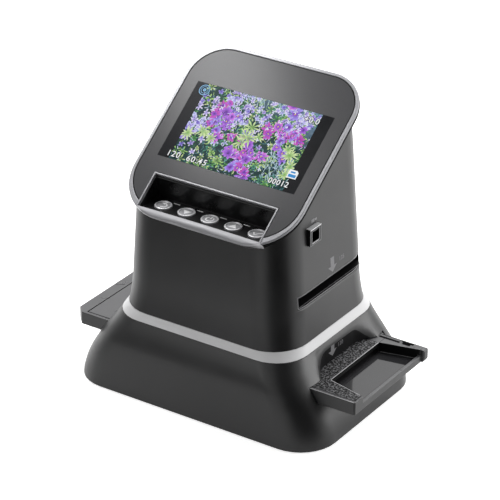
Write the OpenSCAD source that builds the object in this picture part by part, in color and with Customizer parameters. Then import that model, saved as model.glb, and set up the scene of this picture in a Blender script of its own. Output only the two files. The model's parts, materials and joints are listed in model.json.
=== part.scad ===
// Desktop film scanner for roll film and 35 mm film, with a tilted screen.
// Millimetres. Origin: centre of the footprint on the table. X right, Y back, Z up.

/* [Base skirt] */
// Width of the footprint
foot_w = 204.6; // [180:0.1:240]
// Depth of the footprint
foot_d = 141.6; // [130:0.1:170]
// Plan corner radius of the footprint
foot_r = 28; // [20:1:34]
// Gap between the skirt's lower edge and the table
skirt_gap = 0.8; // [0.4:0.1:2]
// Wall of the moulded shells
wall = 2.5; // [2:0.1:3]

/* [Ring band] */
// Width of the band at its lower edge
ring_w = 148.2; // [136:0.1:160]
// Depth of the band at its lower edge
ring_d = 123; // [112:0.1:130]
// Plan corner radius of the band at its lower edge
ring_r = 25; // [20:1:32]
// Height of the band's lower edge
ring_z = 55.6; // [52:0.1:64]
// Height of the band
ring_h = 6; // [4:0.5:8]
// How far the band slopes in at its sides
ring_in_x = 3.2; // [1:0.1:5]
// How far the band slopes in at front and back
ring_in_y = 2.3; // [1:0.1:5]
// How far the band and the neck stand behind the footprint's centre
axis_y = 2.5; // [0:0.1:5]

/* [Neck] */
// Draft of the side walls, in degrees
side_draft = 3.4; // [1:0.1:4]
// Draft of the front wall, in degrees
front_draft = 1.4; // [0:0.1:3]
// Draft of the back wall, in degrees
back_draft = 1.4; // [0:0.1:3]
// Extra width of the neck's foot, per side
flare = 1.4; // [0.5:0.1:3]
// Height over which that extra width runs out
flare_h = 22; // [12:1:30]

/* [Face] */
// Tilt of the face from horizontal, in degrees
tilt = 36.6; // [33:0.1:40]
// Height of the screen's centre
screen_z = 184.6; // [178:0.1:192]
// Depth position of the screen's centre
screen_y = 1; // [-3:0.1:5]
// Width of the face
face_w = 136.6; // [130:0.1:144]
// Face edge above the screen's centre, measured up the slope
face_up = 63; // [58:0.5:66]
// Face edge below the screen's centre, measured down the slope
face_down = 75; // [72:0.5:78]
// Radius of the face's upper corners
face_r_up = 28; // [20:1:34]
// Radius of the face's lower corners
face_r_down = 34; // [26:1:38]
// Thickness of the face frame under the rim
frame_t = 5; // [4.5:0.5:8]
// Width of the metal-coloured rim
rim_w = 2.3; // [1.5:0.1:3.5]
// Width of the screen's active area
screen_w = 110.7; // [100:0.1:114]
// Height of the screen's active area
screen_h = 61.5; // [54:0.1:66]
// Thickness of the glass
glass_t = 2; // [1:0.1:2.5]

/* [Console] */
// Width of the console recess
console_w = 98; // [90:1:104]
// Upper edge of the recess, down the slope from the screen's centre
console_v = 44.3; // [42:0.1:48]
// Height of the button deck
deck_z = 139.4; // [138:0.1:142]
// Depth position of the foot of the recess's back wall
recess_back_y = -30.8; // [-34:0.1:-28]
// Radius of a button
button_r = 6.2; // [4:0.1:7]
// Distance from button to button
button_pitch = 19; // [16:0.5:20]
// Depth position of the button row
button_y = -41.2; // [-44:0.1:-39]
// How far a button goes down
button_travel = 0.8; // [0.4:0.1:1]
// Running gap round a button
button_gap = 0.3; // [0.2:0.05:0.5]

/* [Roll film holder] */
// Length of the holder
holder_l = 232.6; // [215:0.1:250]
// Width of the holder
holder_w = 94.6; // [90:0.1:98]
// Centre of the holder, front to back
holder_y = 1.2; // [0:0.1:3]
// Thickness of the holder
holder_t = 9.4; // [8:0.1:11]
// Underside of the holder
holder_z = 29.6; // [29:0.1:31]
// How far the holder is pushed to the right
holder_x = 2.9; // [-20:0.1:20]
// Width of the roll film channel
film_w = 62; // [60:0.5:64]
// Thickness of the holder's lid
lid_t = 3; // [2.6:0.1:4]
// Depth of the flared mouth from the holder's right end
mouth_l = 29.6; // [20:0.1:34]
// Extra width of the mouth at its open end, per side
mouth_flare = 7; // [3:0.5:10]
// Film gate length
gate_l = 42; // [38:1:44]
// Running gap round the holder
holder_gap = 0.35; // [0.2:0.05:0.5]

/* [Scoops over the holder] */
// Width of a scoop between its side walls
scoop_w = 76; // [60:1:84]
// Distance of a scoop's wall from the centre
scoop_x = 76; // [74:0.5:80]
// Corner radius of a scoop
scoop_r = 21; // [10:1:26]

/* [35 mm slot] */
// Front end of the slot
slot_front = -34; // [-36:0.5:-31]
// Back end of the slot
slot_back = 48; // [38:0.5:50]
// Height of the slot
slot_h = 7.6; // [6:0.1:9]
// Lower edge of the slot
slot_z = 88.8; // [84:0.1:94]

/* [USB port] */
// Width of the square port frame
port_w = 13.5; // [12:0.1:15]
// Height of the square port frame
port_h = 12.3; // [11:0.1:14]
// Centre of the port, front to back
port_y = -15.5; // [-24:0.1:-12]
// Centre of the port, height
port_z = 136.4; // [130:0.1:146]
// Width of the socket's mouth
socket_w = 8.2; // [7.6:0.1:9.2]
// Height of the socket's mouth
socket_h = 9.2; // [8:0.1:9.6]
// How far the frame stands out of the neck
port_out = 2.6; // [1:0.1:4]

/* [Hidden] */

$fn = 48;
e = 0.01;            // overrun of a cut past a face
fit = 0.15;          // gap between pieces that are assembled by hand
corner_n = 8;        // straight pieces in a rounded corner of a loft
pcb_t = 1.6;         // circuit board
boss_r = 4;          // screw boss
pilot_r = 1.3;       // screw pilot hole
screw_r = 1.5;       // screw shank
ring_top = ring_z + ring_h;

// ---- points and lofts ----

// Closed outline of a rounded rectangle from x0, y0 to x1, y1, anticlockwise.
function round_rect(x0, y0, x1, y1, r, n = corner_n) =
    [for (k = [0:3], i = [0:n])
        let (a = 90 * (k + i / n),
             cx = (k == 0 || k == 3) ? x1 - r : x0 + r,
             cy = k < 2 ? y1 - r : y0 + r)
        [cx + r * cos(a), cy + r * sin(a)]];

function at_height(outline, z) = [for (p = outline) [p[0], p[1], z]];

// Solid through a stack of outlines that all have the same number of points.
module loft(rings) {
    m = len(rings[0]);
    last = len(rings) - 1;
    polyhedron(
        points = [for (ring = rings, p = ring) p],
        faces = concat(
            [[for (i = [0:m - 1]) i]],
            [[for (i = [m - 1:-1:0]) last * m + i]],
            [for (j = [0:last - 1], i = [0:m - 1]) let (k = (i + 1) % m)
                [j * m + i, (j + 1) * m + i, (j + 1) * m + k]],
            [for (j = [0:last - 1], i = [0:m - 1]) let (k = (i + 1) % m)
                [j * m + i, (j + 1) * m + k, j * m + k]]));
}

module box(x0, y0, z0, x1, y1, z1) {
    translate([x0, y0, z0]) cube([x1 - x0, y1 - y0, z1 - z0]);
}

// Outline drawn in the Y-Z plane and extruded along X, centred.
module along_x(length) {
    rotate([90, 0, 90]) linear_extrude(length, center = true) children();
}

// ---- shells ----

shoulder_share = 0.58;   // part of the front flare that the shoulder takes
shoulder_end = 0.36;     // depth of the shoulder, as part of the skirt's height
side_bend = 1.15;        // how late the side flare starts
foot_flare_x = (foot_w - ring_w) / 2;
foot_front = foot_d / 2 - (ring_d / 2 - axis_y);
foot_back = foot_d / 2 - (ring_d / 2 + axis_y);

// Share of the flare reached at height z: 0 at the band, 1 at the foot.
function down(z) = min(1, max(0, 1 - z / ring_z));
function side_share(z) = sin(90 * pow(down(z), side_bend));
function front_share(z) =
    shoulder_share * sin(90 * min(1, down(z) / shoulder_end)) + (1 - shoulder_share) * pow(down(z), 1.6);

function skirt_ring(z, t) =
    let (hx = ring_w / 2 + foot_flare_x * side_share(z) - t,
         y0 = axis_y - ring_d / 2 - foot_front * front_share(z) + t,
         y1 = axis_y + ring_d / 2 + foot_back * side_share(z) - t)
    at_height(round_rect(-hx, y0, hx, y1, ring_r + (foot_r - ring_r) * side_share(z) - t), z);

skirt_steps = 14;
module skirt_solid(t, z0, z1) {
    loft([for (i = [0:skirt_steps]) skirt_ring(z0 + (z1 - z0) * i / skirt_steps, t)]);
}

neck_back = axis_y + ring_d / 2 - ring_in_y;
neck_front = axis_y - ring_d / 2 + ring_in_y;
neck_half = ring_w / 2 - ring_in_x;
neck_r = ring_r + 2;

neck_end = screen_z + face_up * sin(tilt) + 4;
back_curve_z = 178;      // the back wall bends forward above this height
back_curve = 6;

function flare_in(z) =
    let (u = min(1, max(0, (z - ring_top) / flare_h))) flare * (1 - pow(1 - u, 2));
function neck_half_at(z) = neck_half - flare_in(z) - (z - ring_top) * tan(side_draft);
function neck_front_at(z) = neck_front + flare_in(z) + (z - ring_top) * tan(front_draft);
function neck_back_at(z) =
    let (u = max(0, z - back_curve_z) / (neck_end - back_curve_z))
    neck_back - flare_in(z) - (z - ring_top) * tan(back_draft) - back_curve * u * u;
function neck_ring(z, t) =
    at_height(round_rect(-neck_half_at(z) + t, neck_front_at(z) + t,
                         neck_half_at(z) - t, neck_back_at(z) - t, neck_r - t), z);

module neck_solid(t, z0) {
    loft(concat([for (u = [0:0.2:0.8]) neck_ring(max(z0, ring_top + flare_h * u) + u * e, t)],
                [neck_ring(ring_top + flare_h + 1, t)],
                [for (u = [0:0.25:1]) neck_ring(back_curve_z + (neck_end - back_curve_z) * u, t)]));
}

// ---- places on the tilted face: x right, y up the slope, z out of the glass ----

module on_face() {
    translate([0, screen_y, screen_z]) rotate([tilt, 0, 0]) children();
}
module above_face(z) {
    on_face() translate([-200, -200, z]) cube([400, 400, 200]);
}

// Outline from -hx to hx and from -dn to up, with upper radius ru and lower radius rd.
function arc(cx, cy, r, a0, n) = [for (i = [0:n]) let (a = a0 + 90 * i / n) [cx + r * cos(a), cy + r * sin(a)]];
function plate_outline(hx, up, dn, ru, rd, n) =
    concat(arc(hx - ru, up - ru, ru, 0, n), arc(ru - hx, up - ru, ru, 90, n),
           arc(rd - hx, rd - dn, rd, 180, n), arc(hx - rd, rd - dn, rd, 270, n));
face_n = 12;
function face_outline(inset) =
    plate_outline(face_w / 2 - inset, face_up - inset, face_down - inset,
                  face_r_up - inset, face_r_down - inset, face_n);
// Inner edge of the rim: even at the sides, wider across the lower edge
function rim_inner(gap) =
    plate_outline(face_w / 2 - rim_w - gap, face_up - rim_w - gap, face_down - lip_h - gap,
                  face_r_up - rim_w - gap, face_r_down - lip_h + 1 - gap, face_n);

recess_x = console_w / 2;
tub_wall = 1.5;
rim_t = glass_t + 0.4;            // the rim reaches from the frame to just over the glass
frame_top = -glass_t - 0.4;       // seat of rim and glass, below the face plane
frame_low = frame_top - frame_t;
lip_h = 4.6;                      // width of the rim across the lower edge
trim_w = 1.1;                     // bright edge round the recess
lcd_edge = 4.5;                   // metal border of the screen module
lcd_t = 4.2;
lip_x = recess_x + trim_w;        // half length of the lip

// ---- base ----

holder_top = holder_z + holder_t;
channel_low = holder_z - holder_gap;
channel_top = holder_top + holder_gap;
channel_half = holder_w / 2 + holder_gap;
guide_half = 79;
neck_open_x = 54;                 // opening between base and neck, for light and wires
neck_open_y = 41;
floor_t = 2.4;                    // bottom cover
cover_z = skirt_gap + 0.4;
cover_top = cover_z + floor_t;
boss_x = foot_w / 2 - 15;
boss_y = foot_d / 2 - 14;
// Screw bosses, clear of the holder's channel
boss_places = [for (x = [-boss_x, 0, boss_x], y = [-boss_y, boss_y]) [x, y]];
foot_x = foot_w / 2 - 34;
foot_y = foot_d / 2 - 18;
foot_pad_r = 8;
foot_pad_h = 2.2;
foot_places = concat([[0, 0]], [for (x = [-foot_x, foot_x], y = [-foot_y, foot_y]) [x, y]]);
vent_y0 = foot_pad_r + 2;         // vents from here to the rib, both ways
vent_y1 = 22;

// Upright cut with rounded ends, from the holder upwards through the sloping side
module scoop_volume(grow) {
    half = scoop_w / 2 + grow;
    for (side = [-1, 1])
        translate([0, axis_y, channel_top - 1]) linear_extrude(ring_z - channel_top + 2)
            polygon([for (p = round_rect(scoop_x - grow, -half, foot_w, half, scoop_r + grow, 12))
                [side * p[0], p[1]]]);
}

// Height of the skirt's side face at distance x from the centre
function skirt_z(x) =
    let (share = min(1, max(0, (x - ring_w / 2) / foot_flare_x)))
    ring_z * (1 - pow(asin(share) / 90, 1 / side_bend));

// Section of the cut that rounds the edge between a scoop's wall and the skirt. p is a point of
// the scoop's outline and a the direction from there into the wall.
round_l = 4.5;                    // how far the rounding reaches up the skirt
function round_section(p, a) =
    let (l = min(round_l, (p[0] - ring_w / 2 - 0.4) / -cos(a)),
         z0 = skirt_z(p[0]),
         z1 = skirt_z(p[0] + l * cos(a)),
         drop = sqrt(l * l + (z1 - z0) * (z1 - z0)),
         curve = [for (u = [0:0.25:1]) let (k = (1 - u) * (1 - u)) [l * k, z0 + (z1 - z0) * k - drop * u * u]])
    [for (q = concat([[l, z1 + 3]], curve, [[-2, z0 - drop], [-2, z1 + 3]]))
        [p[0] + q[0] * cos(a), p[1] + q[0] * sin(a), q[1]]];

module scoop_rounding() {
    cx = scoop_x + scoop_r;
    half = scoop_w / 2 - scoop_r;
    edge = concat([for (a = [120:10:180]) [cx + scoop_r * cos(a), axis_y + half + scoop_r * sin(a), a]],
                  [for (a = [180:10:240]) [cx + scoop_r * cos(a), axis_y - half + scoop_r * sin(a), a]]);
    for (side = [0, 1]) mirror([side, 0, 0]) loft([for (p = edge) round_section(p, p[2])]);
}

module base_skirt() {
    color([0.09, 0.09, 0.095])
        difference() {
            union() {
                difference() {
                    skirt_solid(0, skirt_gap, ring_z);
                    difference() {
                        skirt_solid(wall, skirt_gap - 1, ring_z - wall);
                        scoop_volume(wall);
                    }
                }
                intersection() {
                    skirt_solid(wall / 2, skirt_gap, ring_z - wall / 2);
                    for (p = boss_places)
                        translate([p[0], p[1], cover_top + fit]) cylinder(r = boss_r, h = ring_z);
                }
            }
            scoop_volume(0);
            scoop_rounding();
            box(-foot_w, holder_y - channel_half, channel_low, foot_w, holder_y + channel_half, channel_top);
            translate([0, axis_y, 0]) linear_extrude(ring_z + 1)
                polygon(round_rect(-neck_open_x, -neck_open_y, neck_open_x, neck_open_y, 8));
            for (p = boss_places)
                translate([p[0], p[1], 0]) cylinder(r = pilot_r, h = cover_top + 12);
        }
}

rib_h = 2.5;
module bottom_cover() {
    color([0.12, 0.12, 0.12])
        difference() {
            union() {
                translate([0, 0, cover_z]) linear_extrude(floor_t)
                    polygon([for (p = skirt_ring(cover_top, wall + fit)) [p[0], p[1]]]);
                for (x = [-light_post_x, light_post_x], y = [-light_post_y, light_post_y])
                    translate([x, axis_y + y, cover_z]) cylinder(r = boss_r, h = led_board_z - cover_z);
                for (y = [-24, 24]) box(-86, y - 0.8, cover_top - e, 86, y + 0.8, cover_top + rib_h);
                for (x = [-78, 78]) box(x - 0.8, -44, cover_top - e, x + 0.8, 44, cover_top + rib_h);
            }
            for (p = boss_places) {
                translate([p[0], p[1], 0]) cylinder(r = screw_r + 0.2, h = 10);
                translate([p[0], p[1], 0]) cylinder(r = 3.4, h = cover_z + 1.3);
            }
            for (p = foot_places)
                translate([p[0], p[1], 0]) cylinder(r = foot_pad_r + 0.2, h = cover_z + 1);
            for (i = [-5:5]) {
                box(i * 6 - 1, vent_y0, 0, i * 6 + 1, vent_y1, 10);
                box(i * 6 - 1, -vent_y1, 0, i * 6 + 1, -vent_y0, 10);
            }
        }
}

module rubber_feet() {
    color([0.16, 0.16, 0.16])
        for (p = foot_places)
            translate([p[0], p[1], 0]) rotate_extrude()
                polygon([[0, 0], [foot_pad_r - 1, 0], [foot_pad_r, 0.8], [foot_pad_r, foot_pad_h], [0, foot_pad_h]]);
}

module bottom_screws() {
    color([0.6, 0.6, 0.62])
        for (p = boss_places)
            translate([p[0], p[1], cover_z + 1.3]) difference() {
                union() {
                    mirror([0, 0, 1]) cylinder(r = 2.9, h = 1.1);
                    cylinder(r = screw_r, h = floor_t - 1.3);
                    cylinder(r = pilot_r - 0.02, h = 11);
                }
                translate([0, 0, -1.1 - e]) for (a = [0, 90]) rotate(a) translate([-1.6, -0.35, 0]) cube([3.2, 0.7, 0.7]);
            }
}

module ring_band() {
    hx = ring_w / 2;
    color([0.80, 0.80, 0.80])
        difference() {
            loft([at_height(round_rect(-hx, axis_y - ring_d / 2, hx, axis_y + ring_d / 2, ring_r), ring_z),
                  at_height(round_rect(-neck_half, neck_front, neck_half, neck_back, neck_r), ring_top)]);
            translate([0, axis_y, ring_z - 1]) linear_extrude(ring_h + 2)
                polygon(round_rect(-neck_open_x - 2, -neck_open_y - 2, neck_open_x + 2, neck_open_y + 2, 9));
        }
}

// ---- neck ----

guide_wall = 1.8;
main_board_z0 = 108;
main_board_z1 = 172;
main_board_x = 42;
main_board_y = neck_back_at(main_board_z1) - wall - 9;

module neck_shell() {
    color([0.10, 0.10, 0.105])
        difference() {
            union() {
                difference() {
                    neck_solid(0, ring_top);
                    neck_solid(wall, ring_top + wall);
                    translate([0, axis_y, ring_top - 1]) linear_extrude(wall + 2)
                        polygon(round_rect(-neck_open_x, -neck_open_y, neck_open_x, neck_open_y, 8));
                }
                intersection() {
                    neck_solid(wall / 2, ring_top);
                    union() {
                        for (x = [-main_board_x + 4, main_board_x - 4], z = [main_board_z0 + 4, main_board_z1 - 4])
                            translate([x, main_board_y + pcb_t, z]) rotate([-90, 0, 0]) cylinder(r = 3, h = 20);
                        box(usb_board_x0 + 6, port_y - 8, usb_board_z - 2, 90, port_y + 8, usb_board_z);
                    }
                }
            }
            above_face(frame_low);
            along_x(2 * (recess_x + tub_wall + fit)) recess_profile(tub_wall + fit, 20);
            slot_room(sleeve_t + sleeve_gap);
            for (side = [-1, 1]) slot_chamfer(side);
            box(0, port_y - port_w / 2 - fit, port_z - port_h / 2 - fit,
                100, port_y + port_w / 2 + fit, port_z + port_h / 2 + fit);
        }
}

sleeve_t = 0.9;                  // lining that shows as a thin frame round the slot
sleeve_gap = 0.25;

module slot_room(grow) {
    box(-100, slot_front - grow, slot_z - grow, 100, slot_back + grow, slot_z + slot_h + grow);
}

// Bevelled edge of the shell round the lining
module slot_chamfer(side) {
    c = 0.6;
    g = sleeve_t + sleeve_gap;
    face_x = neck_half_at(slot_z + slot_h / 2);
    hull() for (s = [-1, 1])
        translate([side * (face_x + s * c), slot_front - g - (s + 1) * c, slot_z - g - (s + 1) * c])
            cube([e, slot_back - slot_front + 2 * g + 2 * (s + 1) * c, slot_h + 2 * g + 2 * (s + 1) * c]);
}

module slot_guide() {
    color([0.07, 0.07, 0.07])
        difference() {
            union() {
                intersection() {
                    neck_solid(wall + fit, ring_top);
                    slot_room(guide_wall);
                }
                intersection() {
                    neck_solid(0.35, ring_top);
                    slot_room(sleeve_t);
                }
            }
            slot_room(0);
            box(-gate35_l / 2, axis_y - gate35_w / 2, slot_z - 10, gate35_l / 2, axis_y + gate35_w / 2, slot_z + 20);
        }
}

// ---- light path ----

gate35_l = 46;
gate35_w = 34;
guide_t = 2.2;                   // plates of the roll film guide
guide_low = channel_low - guide_t;
guide_top = channel_top + guide_t;
light_post_x = 48;
light_post_y = 30;
led_board_z = 8.6;
light_box_z = led_board_z + pcb_t;
diffuser_t = 2.6;
light_box_top = guide_low - diffuser_t - fit;
shroud_t = 1.6;

module holder_guide() {
    half = channel_half + guide_t;
    inner = scoop_x - wall - fit;
    color([0.08, 0.08, 0.08])
        difference() {
            union() {
                box(-guide_half, holder_y - half, guide_low, guide_half, holder_y + half, channel_top - 1.2);
                box(-inner, holder_y - half, guide_low, inner, holder_y + half, guide_top);
                for (x = [-62, 62], y = [-half + 5, half - 5])
                    translate([x, holder_y + y, guide_top - e]) cylinder(r = boss_r, h = ring_z - wall - guide_top + e);
            }
            box(-foot_w, holder_y - channel_half, channel_low, foot_w, holder_y + channel_half, channel_top);
            box(-gate_l / 2 - 4, axis_y - film_w / 2, guide_low - 1, gate_l / 2 + 4, axis_y + film_w / 2, guide_top + 1);
        }
}

// Square tube that narrows from (l0, w0) at z0 to (l1, w1) at z1, with a flange at the wide end
module shroud(l0, w0, z0, l1, w1, z1) {
    module tube(t, over) {
        loft([at_height(round_rect(-l0 / 2 - t, axis_y - w0 / 2 - t, l0 / 2 + t, axis_y + w0 / 2 + t, 3 + t, 4), z0 - over),
              at_height(round_rect(-l1 / 2 - t, axis_y - w1 / 2 - t, l1 / 2 + t, axis_y + w1 / 2 + t, 3 + t, 4), z1 + over)]);
    }
    difference() {
        union() {
            tube(shroud_t, 0);
            box(-l0 / 2 - 4, axis_y - w0 / 2 - 4, z0, l0 / 2 + 4, axis_y + w0 / 2 + 4, z0 + 2);
        }
        tube(0, e);
    }
}

module lower_shroud() {
    color([0.05, 0.05, 0.05])
        shroud(gate_l + 4, film_w - 4, guide_top, gate35_l, gate35_w, slot_z - guide_wall);
}

lens_seat = 122;
lens_r = 11;
module upper_shroud() {
    color([0.05, 0.05, 0.05])
        shroud(gate35_l, gate35_w, slot_z + slot_h + guide_wall, 26, 26, lens_seat);
}

module lens_holder() {
    color([0.11, 0.11, 0.11])
        translate([0, axis_y, lens_seat]) difference() {
            union() {
                translate([-22, -22, 0]) cube([44, 44, 2.4]);
                cylinder(r = lens_r + 2.5, h = 14);
                for (x = [-18, 18], y = [-18, 18]) translate([x, y, 0]) cylinder(r = 2.6, h = sensor_up);
            }
            translate([0, 0, -1]) cylinder(r = lens_r + 0.05, h = 30);
        }
}

sensor_up = 30;
module lens_barrel() {
    color([0.13, 0.13, 0.13])
        translate([0, axis_y, lens_seat]) rotate_extrude()
            polygon([[8, -2], [lens_r, -2], [lens_r, 14], [lens_r + 1.8, 14.6], [lens_r + 1.8, 18],
                     [9.5, 18], [9.5, 22], [6.5, 22], [6.5, 18], [8, 14]]);
}

module lens_glass() {
    color([0.5, 0.6, 0.7, 0.5])
        translate([0, axis_y, lens_seat]) {
            intersection() {
                cylinder(r = 7.95, h = 6);
                translate([0, 0, 15]) sphere(r = 14);
            }
            translate([0, 0, 19]) cylinder(r = 6.45, h = 2);
        }
}

module sensor_board() {
    z = lens_seat + sensor_up;
    color([0.1, 0.32, 0.2])
        translate([0, axis_y, z]) {
            translate([-22, -22, 0]) cube([44, 44, pcb_t]);
            translate([-6, -6, -1.4]) cube([12, 12, 1.4 + e]);
            translate([-9, 8, pcb_t - e]) cube([18, 6, 2.4]);
            for (x = [-14, 14]) translate([x - 3, -12, pcb_t - e]) cube([6, 6, 1.2]);
        }
}

module light_box() {
    color([0.92, 0.92, 0.92])
        difference() {
            box(-light_post_x - 6, axis_y - light_post_y - 6, light_box_z,
                light_post_x + 6, axis_y + light_post_y + 6, light_box_top);
            loft([at_height(round_rect(-light_post_x + 4, axis_y - light_post_y + 2,
                                       light_post_x - 4, axis_y + light_post_y - 2, 6), light_box_z - e),
                  at_height(round_rect(-light_post_x - 3, axis_y - light_post_y - 3,
                                       light_post_x + 3, axis_y + light_post_y + 3, 6), light_box_top + e)]);
        }
}

module diffuser() {
    color([0.97, 0.97, 0.97])
        box(-light_post_x - 5, axis_y - light_post_y - 5, light_box_top,
            light_post_x + 5, axis_y + light_post_y + 5, light_box_top + diffuser_t);
}

module backlight_board() {
    color([0.9, 0.9, 0.88])
        union() {
            box(-light_post_x - 6, axis_y - light_post_y - 6, led_board_z,
                light_post_x + 6, axis_y + light_post_y + 6, light_box_z);
            for (i = [-3:3], j = [-2:2])
                translate([i * 12, axis_y + j * 11, light_box_z - e]) translate([-1.5, -1.5, 0]) cube([3, 3, 0.9]);
        }
}

// ---- head ----

// The tub's inner room, in the Y-Z plane: flat deck, sloped back wall, open to the face
recess_top_y = screen_y - console_v * cos(tilt);
recess_top_z = screen_z - console_v * sin(tilt);
back_slope = (recess_top_y - recess_back_y) / (recess_top_z - deck_z);
module recess_profile(t, over) {
    z1 = recess_top_z + over;
    polygon([[recess_back_y + t, deck_z - t], [recess_back_y + back_slope * (z1 - deck_z) + t, z1],
             [-90, z1], [-90, deck_z - t]]);
}

module console_tub() {
    color([0.04, 0.04, 0.045])
        difference() {
            union() {
                difference() {
                    along_x(console_w + 2 * tub_wall) recess_profile(tub_wall, 20);
                    along_x(console_w) recess_profile(0, 40);
                }
                for (x = [-2.5:1:2.5], y = [button_y - 6.6, button_y + 6.6])
                    translate([x * button_pitch * 0.98 - 1.1, y - 0.6, board_top])
                        cube([2.2, 1.2, deck_z - tub_wall - board_top + e]);
            }
            above_face(frame_top - fit);
            on_face() box(-100, -200, -100, 100, -face_down + lip_h, 100);
            for (i = [-2:2])
                translate([i * button_pitch, button_y, deck_z - 5]) cylinder(r = button_r + button_gap, h = 10);
        }
}

board_top = deck_z - 9;
switch_h = 3.4;
cap_up = 1;                       // a cap's rest height over the deck
cap_rim = 1.1;                    // raised edge of a cap

// Cap with a raised edge and a dished top, a collar under the deck and a stem
module button(i) {
    z = deck_z + cap_up;
    collar = deck_z - tub_wall - button_gap;
    color([0.72, 0.72, 0.73])
        translate([i * button_pitch, button_y, 0]) rotate_extrude()
            polygon([[0, board_top + switch_h + button_travel + 0.1], [2, board_top + switch_h + button_travel + 0.1],
                     [2, collar - 0.8], [button_r + 1.3, collar - 0.8], [button_r + 1.3, collar],
                     [button_r, collar], [button_r, z - 0.3], [button_r - 0.3, z],
                     [button_r - cap_rim, z], [button_r - cap_rim - 0.3, z - 0.45], [0, z - 0.45]]);
}

module button_board() {
    color([0.1, 0.35, 0.2])
        union() {
            box(-2.5 * button_pitch - 0.5, button_y - 7.4, board_top - pcb_t,
                2.5 * button_pitch + 0.5, button_y + 8.5, board_top);
            for (i = [-2:2]) translate([i * button_pitch, button_y, board_top - e]) {
                translate([-3, -3, 0]) cube([6, 6, 2.4]);
                cylinder(r = 1.7, h = switch_h);
            }
        }
}

module head_frame() {
    color([0.08, 0.08, 0.085])
        difference() {
            on_face() loft([for (s = [[3.4, 0], [1.2, 1.8], [0.5, 2.4], [0.5, 3.7], [1.3, 3.9], [1.3, frame_t]])
                at_height(face_outline(s[0]), frame_low + s[1])]);
            on_face() box(-screen_w / 2 - lcd_edge - fit, -screen_h / 2 - lcd_edge - fit, frame_low - 1,
                          screen_w / 2 + lcd_edge + fit, screen_h / 2 + lcd_edge + fit, 1);
            on_face() box(-recess_x - tub_wall - fit, -face_down - 1, frame_low - 1,
                          recess_x + tub_wall + fit, -console_v + 6, 1);
        }
}

module bezel_rim() {
    color([0.66, 0.66, 0.67])
        on_face() difference() {
            translate([0, 0, frame_top]) linear_extrude(rim_t) polygon(face_outline(0));
            translate([0, 0, frame_top - 1]) linear_extrude(rim_t + 2) polygon(rim_inner(0));
            box(-lip_x, -face_down - 1, frame_top - 1, lip_x, -console_v, 5);
        }
}

module front_glass() {
    color([0.03, 0.03, 0.035])
        on_face() difference() {
            translate([0, 0, frame_top + 0.3]) linear_extrude(glass_t) polygon(rim_inner(fit));
            box(-lip_x - fit, -face_down - 1, -10, lip_x + fit, -console_v + trim_w + fit, 5);
        }
}

module console_trim() {
    color([0.70, 0.70, 0.71])
        on_face() difference() {
            box(-lip_x, -face_down + lip_h, frame_top, lip_x, -console_v + trim_w, 0.25);
            box(-recess_x, -face_down - 1, -10, recess_x, -console_v, 5);
        }
}

// Bulged bar that closes the recess in front; it follows the rim's rounded lower corners
lip_steps = 16;
lip_bow = 1.3;                    // rise of the lip's middle over its ends
lip_deep = frame_t + glass_t + 0.4;
function lip_edge(x) =
    let (c = face_w / 2 - face_r_down, u = max(0, abs(x) - c))
    -face_down + face_r_down - sqrt(face_r_down * face_r_down - u * u);
function lip_ring(x) =
    let (y1 = -face_down + lip_h, y0 = lip_edge(x), w = y1 - y0, up = lip_bow * (1 - pow(x / lip_x, 2)))
    [for (p = [[y1, -lip_deep], [y1, up], [y1 - 0.35 * w, up * 0.85], [y1 - 0.7 * w, up * 0.3 - 0.4],
               [y0 + 0.1, -1.1 - 0.2 * up], [y0, -2], [y0, -3.2], [y0 + 0.5 * w, -lip_deep]])
        [x, p[0], p[1]]];

module front_lip() {
    color([0.74, 0.74, 0.75])
        on_face() loft([for (i = [0:lip_steps]) lip_ring(lip_x * (2 * i / lip_steps - 1))]);
}

module lcd_module() {
    hx = screen_w / 2 + lcd_edge;
    hy = screen_h / 2 + lcd_edge;
    z1 = frame_top - 0.1;
    color([0.15, 0.16, 0.18])
        on_face() difference() {
            box(-hx, -hy, z1 - lcd_t, hx, hy, z1);
            box(-screen_w / 2, -screen_h / 2, z1 - 0.3, screen_w / 2, screen_h / 2, z1 + 1);
        }
}

// Sheet bracket under the frame with four pads that press the screen module to the glass
module lcd_bracket() {
    low = frame_low - bracket_t;
    color([0.62, 0.63, 0.64])
        on_face() difference() {
            union() {
                box(-50, -22, low, 50, 22, frame_low);
                for (x = [-42, 42]) {
                    box(x - 5, -screen_h / 2 - lcd_edge - 2.4, low, x + 5, screen_h / 2 + lcd_edge + 6, frame_low);
                    box(x - 4, -18, frame_low - e, x + 4, 18, frame_top - 0.1 - lcd_t);
                }
            }
            for (x = [-26, 0, 26]) box(x - 9, -14, low - 1, x + 9, 14, frame_low + 1);
            for (x = [-42, 42]) translate([x, screen_h / 2 + lcd_edge + 3, low - 1]) cylinder(r = 1.6, h = 10);
        }
}
bracket_t = 1;

module main_board() {
    color([0.1, 0.32, 0.2])
        union() {
            box(-main_board_x, main_board_y, main_board_z0, main_board_x, main_board_y + pcb_t, main_board_z1);
            box(-12, main_board_y - 2.2, main_board_z0 + 26, 12, main_board_y + e, main_board_z0 + 48);
            box(18, main_board_y - 1.4, main_board_z0 + 30, 32, main_board_y + e, main_board_z0 + 40);
            box(-34, main_board_y - 6, main_board_z0 + 6, -22, main_board_y + e, main_board_z0 + 14);
            for (x = [0:4]) translate([x * 7 + 2, main_board_y, main_board_z0 + 14])
                rotate([90, 0, 0]) cylinder(r = 2.4, h = 5);
        }
}

// ---- USB port ----

port_face = neck_half_at(port_z) + port_out;
port_inner = neck_half_at(port_z + port_h / 2) - wall - 1.6;
usb_board_x0 = 46;
usb_board_z = port_z - 8.6;

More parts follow.
